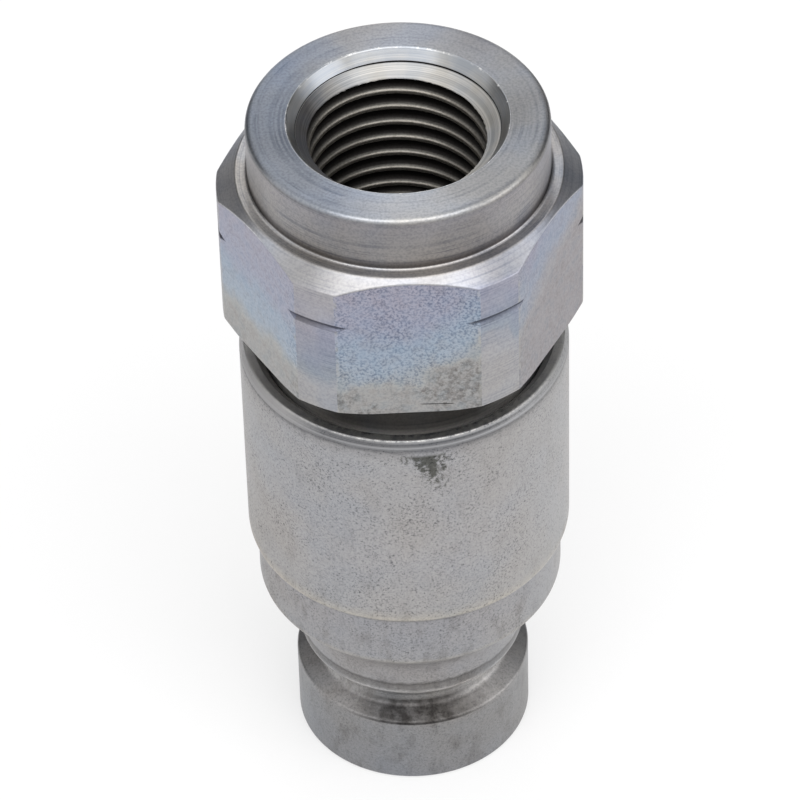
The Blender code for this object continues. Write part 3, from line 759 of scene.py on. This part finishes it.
def scuff_share(tree, place):
    """A broken, greasy scuff: a triangle under the rim that narrows down to its point."""
    from_tip = add(tree, "VectorMath SUBTRACT", place, SCUFF_TIP)
    across, away, up = add(tree, "SeparateXYZ", from_tip).node.outputs
    lean = add(tree, "Math MULTIPLY", up, SCUFF_LEAN)
    half = add(tree, "MapRange", up, 0.0, SCUFF_HEIGHT, *SCUFF_HALF)
    inside = add(tree, "Math SUBTRACT", half, apart(tree, across, lean))
    broken = patches(tree, (place, 2.6, 6.0, 0.75), 0.35, 0.65, -1.3, 0.5)
    share = add(tree, "MapRange", add(tree, "Math", inside, broken), 0.0, 0.7)
    for value, low, high in ((up, -0.15, 0.15), (away, 3.0, 2.0),
                             (up, SCUFF_HEIGHT + 0.15, SCUFF_HEIGHT - 0.1)):
        limit = add(tree, "MapRange", value, low, high)
        share = add(tree, "Math MULTIPLY", share, limit)
    return share


def flats_finish():
    """Blue chromate on zinc over milled flats.

    The thin clear coat breaks light into blue and violet, thickest towards the port, and its
    tide line slants across the hexagon. Below it the zinc is plain warm grey. The coat is
    mottled with dark blue specks, most on the front flat. It is thin along one edge of that
    flat and more violet beyond it. Stains gather near a scratch, and a burr lines the flats
    where the chamfer cuts them.
    """
    material, tree, shader, place = metal("blue_passivated_milled_flats", 0.4)
    radius, height, _ = turned_place(tree, place)
    across, deep, _ = add(tree, "SeparateXYZ", place).node.outputs
    tide = tide_height(tree, place, height)
    colour = along(tree, tide, TIDE_COLOURS)
    grain = add(tree, "TexNoise", place, SPECK_SCALE, 2.0, 0.6)
    specks = add(tree, "MapRange", grain, 0.44, 0.65)
    heavy = add(tree, "MapRange", deep, 3 - FLAT_RADIUS, 0.5 - FLAT_RADIUS, 0.25, 1.0)
    specks = add(tree, "Math MULTIPLY", specks, heavy)
    crowd = add(tree, "TexNoise", place, 0.35, 2.0)
    for value, low, high, least in ((tide, -0.4, 0.6, 0.35), (crowd, 0.3, 0.65, 0.45)):
        share = add(tree, "MapRange", value, low, high, least, 1.0)
        specks = add(tree, "Math MULTIPLY", specks, share)
    margin = add(tree, "MapRange", across, 4.9, 6.1, 0.0, 0.6)
    margin = add(tree, "Math MULTIPLY", margin, heavy)
    one_side = add(tree, "MapRange", across, *TIDE_DROP[0])
    one_side = add(tree, "Math SUBTRACT", one_side, margin, use_clamp=True)
    blotch = add(tree, "TexNoise", place, 1.4, 3.0)
    blotches = along(tree, blotch, [(0.35, "F1F5F8"), (0.5, "FFFFFF"), (0.65, "F6F4F3")])

    bare = add(tree, "MapRange", tide, 0.0, -0.5)
    stains = patches(tree, (place, 3.4, 5.0, 0.65), 0.42, 0.66)
    gathered = patches(tree, (place, 0.42, 2.0), 0.36, 0.55)
    away = add(tree, "VectorMath DISTANCE", place, STAINS_MIDDLE)
    beside = add(tree, "MapRange", away, 1.4, 2.8, 1, 0)
    gathered = add(tree, "Math MAXIMUM", gathered, beside)
    worn = add(tree, "MapRange", radius, CORNER_RADIUS - 0.07, CORNER_RADIUS - 0.03)
    rubbed = add(tree, "MapRange", blotch, 0.42, 0.62, 0.0, 0.5)

    slope = UPPER_CHAMFER[1] / UPPER_CHAMFER[0]
    top = Z_RING + (CORNER_RADIUS - UPPER_CHAMFER[0]) * slope
    below = add(tree, "Math MULTIPLY_ADD", radius, slope, height)
    burr = add(tree, "MapRange", below, top - 0.16, top - 0.05)
    broken = add(tree, "MapRange", blotch, 0.38, 0.6, 0.15, 0.9)

    level = add(tree, "VectorMath DOT_PRODUCT", place, SCRATCH_NORMAL)
    cut = add(tree, "MapRange", apart(tree, level, SCRATCH_OFFSET), 0.06, 0.02)
    off_end = add(tree, "VectorMath DISTANCE", place, SCRATCH_MIDDLE)
    ends = add(tree, "MapRange", off_end, 1.15, 0.95)
    colour = layered(
        tree, colour,
        ("MULTIPLY", "BAC1CC", specks),
        ("MIX", "A5A5A6", margin),
        ("MULTIPLY", "EEE9F0", one_side),
        ("MULTIPLY", blotches, 1.0),
        ("MULTIPLY", "B9B6B4", stains, bare, gathered, heavy),
        ("LIGHTEN", "ACABA7", worn, rubbed),
        ("MULTIPLY", "A09C98", burr, broken),
        ("MULTIPLY", "7E7E7E", cut, ends),
        ("MULTIPLY", MARK_SHADE_TINT, mark_shade(tree, radius, height)),
    )

    cutter = add(tree, "TexWave", place, 0.55, 1.5, 3.0, 1.5, bands_direction="Z")
    raised = add(tree, "MapRange", cutter, 0, 1, 0, 0.15)
    sunk = add(tree, "MapRange", specks, 0, 1, 0.4, 0)
    dull = add(tree, "MapRange", grain, 0.35, 0.65, 0.34, 0.48)
    coat(tree, shader, colour, add(tree, "Math", raised, sunk), 0.01, dull)
    return material


def mark_shade(tree, radius, height):
    """How deep the painted shade lies in the groove across the corners: full at its root."""
    root = CORNER_RADIUS - MARK_DEPTH
    half = add(tree, "MapRange", radius, root, CORNER_RADIUS, 0.03, MARK_HALF + 0.02)
    inside = add(tree, "Math SUBTRACT", half, apart(tree, height, MARK_HEIGHT))
    share = add(tree, "MapRange", inside, -0.05, 0.03)
    deep_enough = add(tree, "MapRange", radius, root - 0.06, root)
    return add(tree, "Math MULTIPLY", share, deep_enough)


def tide_height(tree, place, height):
    """Millimetres above the slanting, ragged line where the blue coat ends."""
    level = add(tree, "VectorMath DOT_PRODUCT", place, TIDE_SLANT)
    level = add(tree, "Math", level, TIDE_HEIGHT)
    (start, end), drop = TIDE_DROP
    across = add(tree, "SeparateXYZ", place).node.outputs["X"]
    lower = add(tree, "MapRange", across, start, end, 0, drop, interpolation_type="SMOOTHSTEP")
    level = add(tree, "Math SUBTRACT", level, lower)
    level = add(tree, "Math MAXIMUM", level, TIDE_LOWEST)
    ragged = patches(tree, (place, 0.4, 2.5), 0.25, 0.75, -0.8, 0.8)
    level = add(tree, "Math", level, ragged)
    return add(tree, "Math SUBTRACT", height, level)


def turning_finish():
    """Blue chromate on zinc over turned faces: hexagon corners, chamfers, collar and top face.

    The lathe tool's rings stay visible and stretch highlights across them, in wider arcs on the
    top face. The foot of the collar is painted with shade, and the neck with dark oil and painted
    shade, lightened at its sides and back and by a painted light line low down. The bead above
    the chamfer and the collar's top edge carry painted highlights. The collar is darkened with
    painted shade at the front, and the top face towards the back.
    """
    material, tree, shader, place = metal("blue_passivated_turned_steel", 0.38, 0.8)
    radius, height, _ = turned_place(tree, place)
    deep = add(tree, "SeparateXYZ", place).node.outputs["Y"]
    colour = along(tree, height, ADAPTER_TONES_AND_PAINTED_LIGHT)
    tide = tide_height(tree, place, height)
    blue = along(tree, tide, [(0.2, "FFFFFF"), (0.8, "EDF5FB"), (2.2, "E9EFFA"),
                              (4.5, "EFEFFB"), (8.5, "FFFFFF"), (20.0, "FFFFFF")])
    rinsed = add(tree, "MapRange", height, *RINSE_HEIGHTS, 1.0, 0.35)
    aside = add(tree, "VectorMath DOT_PRODUCT", place, (-1, -0.2, 0))
    film = add(tree, "MapRange", aside, 2.2, 6.0)
    on_face = add(tree, "MapRange", height, Z_PORT - 0.5, Z_PORT - 0.1)
    # Painted shade: the collar's side is darkened at the front.
    oiled = add(tree, "MapRange", deep, -5.5, -9.0)
    over_flats = add(tree, "MapRange", height, *RINSE_HEIGHTS)
    under_face = add(tree, "MapRange", height, Z_PORT - 0.3, Z_PORT - 0.5)
    # Painted light: the neck is lightened at its sides and back against the hexagon's shade.
    beside = add(tree, "MapRange", deep, -8.2, -5.5)
    on_neck = add(tree, "MapRange", height, Z_HEX + 0.02, Z_HEX - 0.1)
    # Painted shade: the top face is darkened towards the back.
    behind = add(tree, "MapRange", deep, 4.0, 8.0)

    marks = tool_marks(tree, place, 11.0)
    wide = tool_marks(tree, place, 4.5, 0.6)
    arcs = along(tree, add(tree, "Mix", on_face, marks, wide),
                 [(0.36, "CFD2D9"), (0.48, "F1F2F4"), (0.62, "FFFFFF")])
    patchy = patches(tree, (place, 0.4, 2.0), 0.35, 0.65, 0.25, 1.0)
    on_top = add(tree, "MapRange", height, Z_RING - 0.1, Z_RING, 0.75, 1.0)
    grit = add(tree, "TexNoise", place, SPECK_SCALE, 2.0)
    grits = along(tree, grit, [(0.38, "FFFFFF"), (0.5, "F7F7F8"), (0.64, "E6E7EA")])
    cloud = add(tree, "TexNoise", place, 0.22, 3.0)
    clouds = along(tree, cloud, [(0.38, "F0F4FA"), (0.5, "FCFCFC"), (0.62, "FCFAF7")])
    colour = layered(
        tree, colour,
        ("MULTIPLY", blue, rinsed),
        ("MULTIPLY", "E6EEFB", film, on_face),
        ("MULTIPLY", "DEDDDC", oiled, over_flats, under_face),
        ("MIX", "9C9A97", beside, on_neck),
        ("MULTIPLY", "ECECEE", behind, on_face),
        ("MULTIPLY", arcs, patchy, on_top),
        ("MULTIPLY", grits, on_top),
        ("MULTIPLY", clouds, 1.0),
        ("MULTIPLY", MARK_SHADE_TINT, mark_shade(tree, radius, height)),
    )

    dull = add(tree, "MapRange", cloud, 0.3, 0.7, 0.3, 0.4)
    matt = add(tree, "MapRange", height, Z_HEX + 0.02, Z_HEX - 0.3, 0, 0.4)
    coat(tree, shader, colour, marks, 0.004, add(tree, "Math", dull, matt))
    return material


def mouth_finish():
    """Countersink of the port, cut bright by a sharp tool.

    A line of painted shade between its cones, for an undercut that the outline leaves out, runs
    along the back and fades out at both ends. The lower cone is darkened with painted shade on
    its left, and nicks shine along the worn outer edge.
    """
    material, tree, shader, place = metal("bright_countersunk_steel", 0.32, 0.4)
    radius, height, angle = turned_place(tree, place)
    marks = tool_marks(tree, place, 12.0)
    upper = along(tree, marks, [(0.3, "9A9DA3"), (0.5, "A5A7AA"), (0.68, "B2B1B0")])
    lower = along(tree, marks, [(0.34, "A4A4A4"), (0.48, "BCBBB9"), (0.64, "D2D0CD")])
    is_lower = add(tree, "MapRange", radius, SINK[1][0], SINK[1][0] - 0.03)
    cloud = add(tree, "TexNoise", place, 0.5, 3.0)
    clouds = along(tree, cloud, [(0.38, "F4F7FB"), (0.5, "FFFFFF"), (0.62, "FBF9F5")])
    # Painted shade: the lower cone is darkened on its left.
    aside = add(tree, "VectorMath DOT_PRODUCT", place, (-1, -0.3, 0))
    film = add(tree, "MapRange", aside, 0.8, 5.0)

    # Painted shade: a thin dark line between the cones, for an undercut the outline leaves out.
    line = add(tree, "MapRange", apart(tree, radius, SINK[1][0]), 0.05, 0.02)
    fade = add(tree, "MapRange", apart(tree, angle, SINK_SHADE_ANGLE), 0.45, 0.95, 1, 0)
    nicks = patches(tree, (place, 1.3, 6.0, 0.75), 0.54, 0.62, 0, 0.75)
    at_edge = add(tree, "MapRange", height, Z_PORT - 0.1, Z_PORT - 0.04)
    nicks = add(tree, "Math MULTIPLY", nicks, at_edge)
    colour = layered(
        tree, upper,
        ("MIX", lower, is_lower),
        ("MULTIPLY", clouds, 1.0),
        ("MULTIPLY", "808084", film, is_lower),
        ("MULTIPLY", "4A4A4E", line, fade),
        ("LIGHTEN", "F4F4F2", nicks),
    )

    dull = add(tree, "MapRange", marks, 0.3, 0.7, 0.27, 0.37)
    for share, more in ((is_lower, 0.32), (nicks, 0.2)):
        extra = add(tree, "MapRange", share, 0, 1, 0, more)
        dull = add(tree, "Math", dull, extra)
    coat(tree, shader, colour, marks, 0.006, dull)
    return material


def thread_finish():
    """Tapped thread: bright tap-rubbed crests; flanks and roots black with oil and painted shade.
    """
    material, tree, shader, place = metal("oiled_tapped_steel", 0.46, 0.3)
    radius, _, _ = turned_place(tree, place)
    marks = tool_marks(tree, place, 8.0)
    wander = add(tree, "MapRange", marks, 0.3, 0.7, -0.03, 0.03)
    depth = add(tree, "Math", radius, wander)
    # Oil with painted shade: the colour falls to near black towards the roots.
    colour = along(tree, depth, [(THREAD_MINOR, "96928B"), (PORT_BORE + 0.03, "928E87"),
                                 (PORT_BORE + 0.13, "62605C"), (PORT_BORE + 0.27, "2E2C2B"),
                                 (PORT_BORE + 0.5, "171615"), (THREAD_MAJOR, "100F0F")])
    grit = patches(tree, (place, 7.0, 2.0), 0.45, 0.65, 0, 0.5)
    colour = layered(tree, colour, ("MULTIPLY", "BAB7B2", grit))
    coat(tree, shader, colour, marks, 0.006)
    return material


def bored_finish():
    """Bored and turned steel inside the joint, never plated bright: grey under a film of oil."""
    material, tree, shader, place = metal("oiled_bored_steel", 0.34, 0.4)
    marks = tool_marks(tree, place, 6.0)
    colour = along(tree, marks, [(0.3, "6A6864"), (0.5, "7E7C78"), (0.7, "8F8D88")])
    coat(tree, shader, colour, marks, 0.008)
    return material


def valve_finish():
    """Hardened valve steel: a ground face, with shoulders and a stem that are turned bright."""
    material, tree, shader, place = metal("hardened_ground_valve_steel", 0.24, 0.5)
    marks = tool_marks(tree, place, 10.0)
    colour = along(tree, marks, [(0.28, "8F9194"), (0.5, "A3A4A6"), (0.72, "B5B4B1")])
    cloud = add(tree, "TexNoise", place, 0.6, 3.0)
    warm = add(tree, "MapRange", cloud, 0.55, 0.75)
    colour = layered(tree, colour, ("MULTIPLY", "D9D2C6", warm))
    dull = add(tree, "MapRange", cloud, 0.3, 0.7, 0.18, 0.3)
    coat(tree, shader, colour, marks, 0.004, dull)
    return material


def guide_finish():
    """Milled and plated guide: cutter marks in its windows, dull zinc darkened along the marks."""
    material, tree, shader, place = metal("zinc_plated_milled_guide", 0.38)
    marks = tool_marks(tree, place, 5.0)
    grain = add(tree, "TexNoise", place, 3.5, 3.0)
    colour = along(tree, grain, [(0.32, "85878B"), (0.5, "9A9B9E"), (0.68, "AAA8A5")])
    dark = add(tree, "MapRange", marks, 0.3, 0.6, 0.5, 0.0)
    colour = layered(tree, colour, ("MULTIPLY", "BFC0C6", dark))
    coat(tree, shader, colour, marks, 0.008)
    return material


def wire_finish():
    """Hard-drawn spring wire: dark grey with fine drawing marks and a film of oil."""
    material, tree, shader, place = metal("oiled_drawn_spring_wire", 0.27)
    drawn = add(tree, "TexNoise", place, 9.0, 3.0)
    patch = add(tree, "TexNoise", place, 0.8, 3.0)
    colour = along(tree, patch, [(0.34, "63656A"), (0.5, "74767A"), (0.66, "868583")])
    dark = add(tree, "MapRange", drawn, 0.55, 0.7, 0, 0.7)
    colour = layered(tree, colour, ("MULTIPLY", "B4B6BC", dark))
    dull = add(tree, "MapRange", patch, 0.3, 0.7, 0.22, 0.36)
    coat(tree, shader, colour, drawn, 0.006, dull)
    return material


def rubber_finish():
    """Moulded nitrile rubber: near black, faintly shiny with oil, with a fine matt grain."""
    material, tree, shader, place = metal("moulded_nitrile_rubber", 0.5)
    shader.inputs["Metallic"].default_value = 0.0
    shader.inputs["IOR"].default_value = 1.52
    grain = add(tree, "TexNoise", place, 6.0, 3.0)
    colour = along(tree, grain, [(0.35, "161617"), (0.5, "1D1D1E"), (0.65, "28282A")])
    dull = add(tree, "MapRange", grain, 0.35, 0.65, 0.42, 0.62)
    coat(tree, shader, colour, grain, 0.01, dull)
    return material


def ptfe_finish():
    """Skived PTFE: waxy white with faint turning marks and light that enters a little way."""
    material, tree, shader, place = metal("skived_white_ptfe", 0.42)
    shader.inputs["Metallic"].default_value = 0.0
    shader.inputs["IOR"].default_value = 1.38
    shader.inputs["Subsurface Weight"].default_value = 0.25
    shader.inputs["Subsurface Scale"].default_value = 0.4 * MM
    marks = tool_marks(tree, place, 5.0)
    colour = along(tree, marks, [(0.3, "D3CFC4"), (0.5, "DEDBD2"), (0.7, "E6E4DD")])
    coat(tree, shader, colour, marks, 0.01)
    return material


def seen_share(tree):
    """One for light that the camera sees straight, in a reflection or through glass."""
    rays = add(tree, "LightPath").node.outputs
    seen = add(tree, "Math MAXIMUM", rays["Is Camera Ray"], rays["Is Glossy Ray"])
    return add(tree, "Math MAXIMUM", seen, rays["Is Transmission Ray"])


def studio():
    """White surroundings, a pale floor that keeps the shadow, soft lights, and two black
    flags behind the sides, which metal alone reflects."""
    world = bpy.data.worlds.new("studio")
    world.use_nodes = True
    bpy.context.scene.world = world
    tree = world.node_tree
    strength = add(tree, "MapRange", seen_share(tree), 0, 1, 0.8, 1.0)
    background = tree.nodes["Background"]
    background.inputs["Color"].default_value = (1, 1, 1, 1)
    tree.links.new(strength, background.inputs["Strength"])

    half, below = 1500 * MM, -0.02 * MM
    mesh = bpy.data.meshes.new("floor")
    mesh.from_pydata([(-half, -half, below), (half, -half, below), (half, half, below),
                      (-half, half, below)], [], [(0, 1, 2, 3)])
    shown("floor", mesh)
    card = bpy.data.materials.new("white_card")
    card.use_nodes = True
    mesh.materials.append(card)
    tree = card.node_tree
    tree.nodes.clear()
    paper = add(tree, "BsdfDiffuse", (0.86, 0.86, 0.86, 1))
    glow = add(tree, "Emission", (1, 1, 1, 1), 1.0)
    share = add(tree, "Math MULTIPLY", seen_share(tree), 0.5)
    mixed = add(tree, "MixShader", share, paper, glow)
    clear = add(tree, "BsdfTransparent")
    behind = add(tree, "NewGeometry", output="Backfacing")
    sink = tree.nodes.new("ShaderNodeOutputMaterial")
    tree.links.new(add(tree, "MixShader", behind, mixed, clear), sink.inputs["Surface"])

    cloth = bpy.data.materials.new("black_flag_cloth")
    cloth.use_nodes = True
    tree = cloth.node_tree
    weave = add(tree, "TexNoise", add(tree, "TexCoord", output="Object"), FLAG_WEAVE)
    shade = along(tree, weave, [(0.4, "1E1E22"), (0.6, "26262A")])
    tree.links.new(shade, tree.nodes["Principled BSDF"].inputs["Base Color"])
    (x0, y0), (x1, y1) = FLAG_SPAN
    low, high = FLAG_HEIGHTS
    for side in (-1, 1):
        mesh = bpy.data.meshes.new("black_flag")
        mesh.from_pydata([(side * x0, y0, low), (side * x1, y1, low), (side * x1, y1, high),
                          (side * x0, y0, high)], [], [(0, 1, 2, 3)])
        mesh.materials.append(cloth)
        flag = shown("black_flag", mesh)
        flag.visible_camera = flag.visible_diffuse = flag.visible_shadow = False
        flag.visible_transmission = False

    for name, size, watts, place in LIGHTS:
        lamp = bpy.data.lights.new(name, "AREA")
        lamp.shape = "RECTANGLE"
        lamp.size, lamp.size_y = size
        lamp.energy = watts
        light = shown(name, lamp)
        light.location = place
        aim = Vector(LIGHT_AIM) - light.location
        light.rotation_euler = aim.to_track_quat("-Z", "Y").to_euler()


main_camera()
bpy.context.scene.view_settings.view_transform = "Standard"
studio()

hardened = valve_finish()
spring_wire = wire_finish()
rubber = rubber_finish()
ptfe = ptfe_finish()

body = turned("nipple_body_turned", body_corners(), [body_finish()], BODY_COLUMNS)
dress(body, "housing", "zinc_body", "nipple_body")
grid, zones = adapter_grid()
adapter_finishes = [flats_finish(), turning_finish(), mouth_finish(), thread_finish(),
                    bored_finish()]
adapter = piece("port_adapter_threaded", grid, adapter_finishes, zones)
dress(adapter, "housing", "passivated_adapter", "port_adapter")

round_seal("adapter_o_ring", "housing", rubber)
round_seal("poppet_o_ring", "poppet", rubber)
for ring, carrier, inner_radius in (("adapter_backup_ring", "housing", NOSE_ROOT + BACKUP_INSET),
                                    ("poppet_backup_ring", "poppet", HEAD_ROOT + BACKUP_INSET)):
    backup = turned(ring + "_cut", flat_section(ring, inner_radius, 0.06), [ptfe])
    dress(backup, carrier, "seal_plastic", ring)

snap_ring = piece("guide_snap_ring_stamped", snap_ring_grid("guide_snap_ring"), [spring_wire],
                  column_loop=False)
dress(snap_ring, "housing", "spring_steel", "guide_snap_ring")
spring = piece("valve_spring_wound", spring_grid(), [spring_wire], column_loop=False)
dress(spring, "housing", "spring_steel", "valve_spring")
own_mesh(spring)

head = turned("poppet_head_ground", [
    (0, head_low[2], 0),
    (HEAD_RADIUS - HEAD_EDGE, head_low[2], 0.05),
    (HEAD_RADIUS, head_low[2] + HEAD_EDGE, 0.05),
    (HEAD_RADIUS, head_low[2] + HEAD_THICKNESS, 0.05),
    (HEAD_ROOT, head_low[2] + HEAD_THICKNESS, 0.08),
    (HEAD_ROOT, HEAD_TOP, 0.05),
    (SPIGOT_RADIUS, HEAD_TOP, 0.05),
    (SPIGOT_RADIUS, head_high[2], 0.1),
    (0, head_high[2], 0),
], [hardened], closed=False)
dress(head, "poppet", "valve_steel", "poppet_head")
stem = turned("poppet_stem_turned", [
    (0, BORE_END, 0),
    (STEM_BORE, BORE_END, 0.05),
    (STEM_BORE, stem_low[2], 0.05),
    (HEAD_RADIUS, stem_low[2], 0.08),
    (HEAD_RADIUS, STOP_CONE[0], 0.05),
    (STOP_RADIUS, STOP_CONE[1], 0.05),
    (STOP_RADIUS, STOP_TOP, 0.08),
    (BOSS_RADIUS, STOP_TOP, 0.1),
    (BOSS_RADIUS, BOSS_TOP - STEM_EDGE, 0.08),
    (BOSS_RADIUS - STEM_EDGE, BOSS_TOP, 0.08),
    (STEM_RADIUS, BOSS_TOP, 0.3),
    (STEM_RADIUS, stem_high[2] - STEM_EDGE, 0.08),
    (STEM_RADIUS - STEM_EDGE, stem_high[2], 0.08),
    (0, stem_high[2], 0),
], [hardened], closed=False)
dress(stem, "poppet", "valve_steel", "poppet_stem")
guide_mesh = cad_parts["valve_guide"].data.copy()
guide_mesh.name = "valve_guide_milled"
guide_mesh.materials.clear()
guide_mesh.materials.append(guide_finish())
close_up(guide_mesh)
guide_mesh.set_sharp_from_angle(angle=math.radians(GUIDE_SHARP))
dress(shown("valve_guide_milled", guide_mesh), "housing", "valve_steel", "valve_guide")
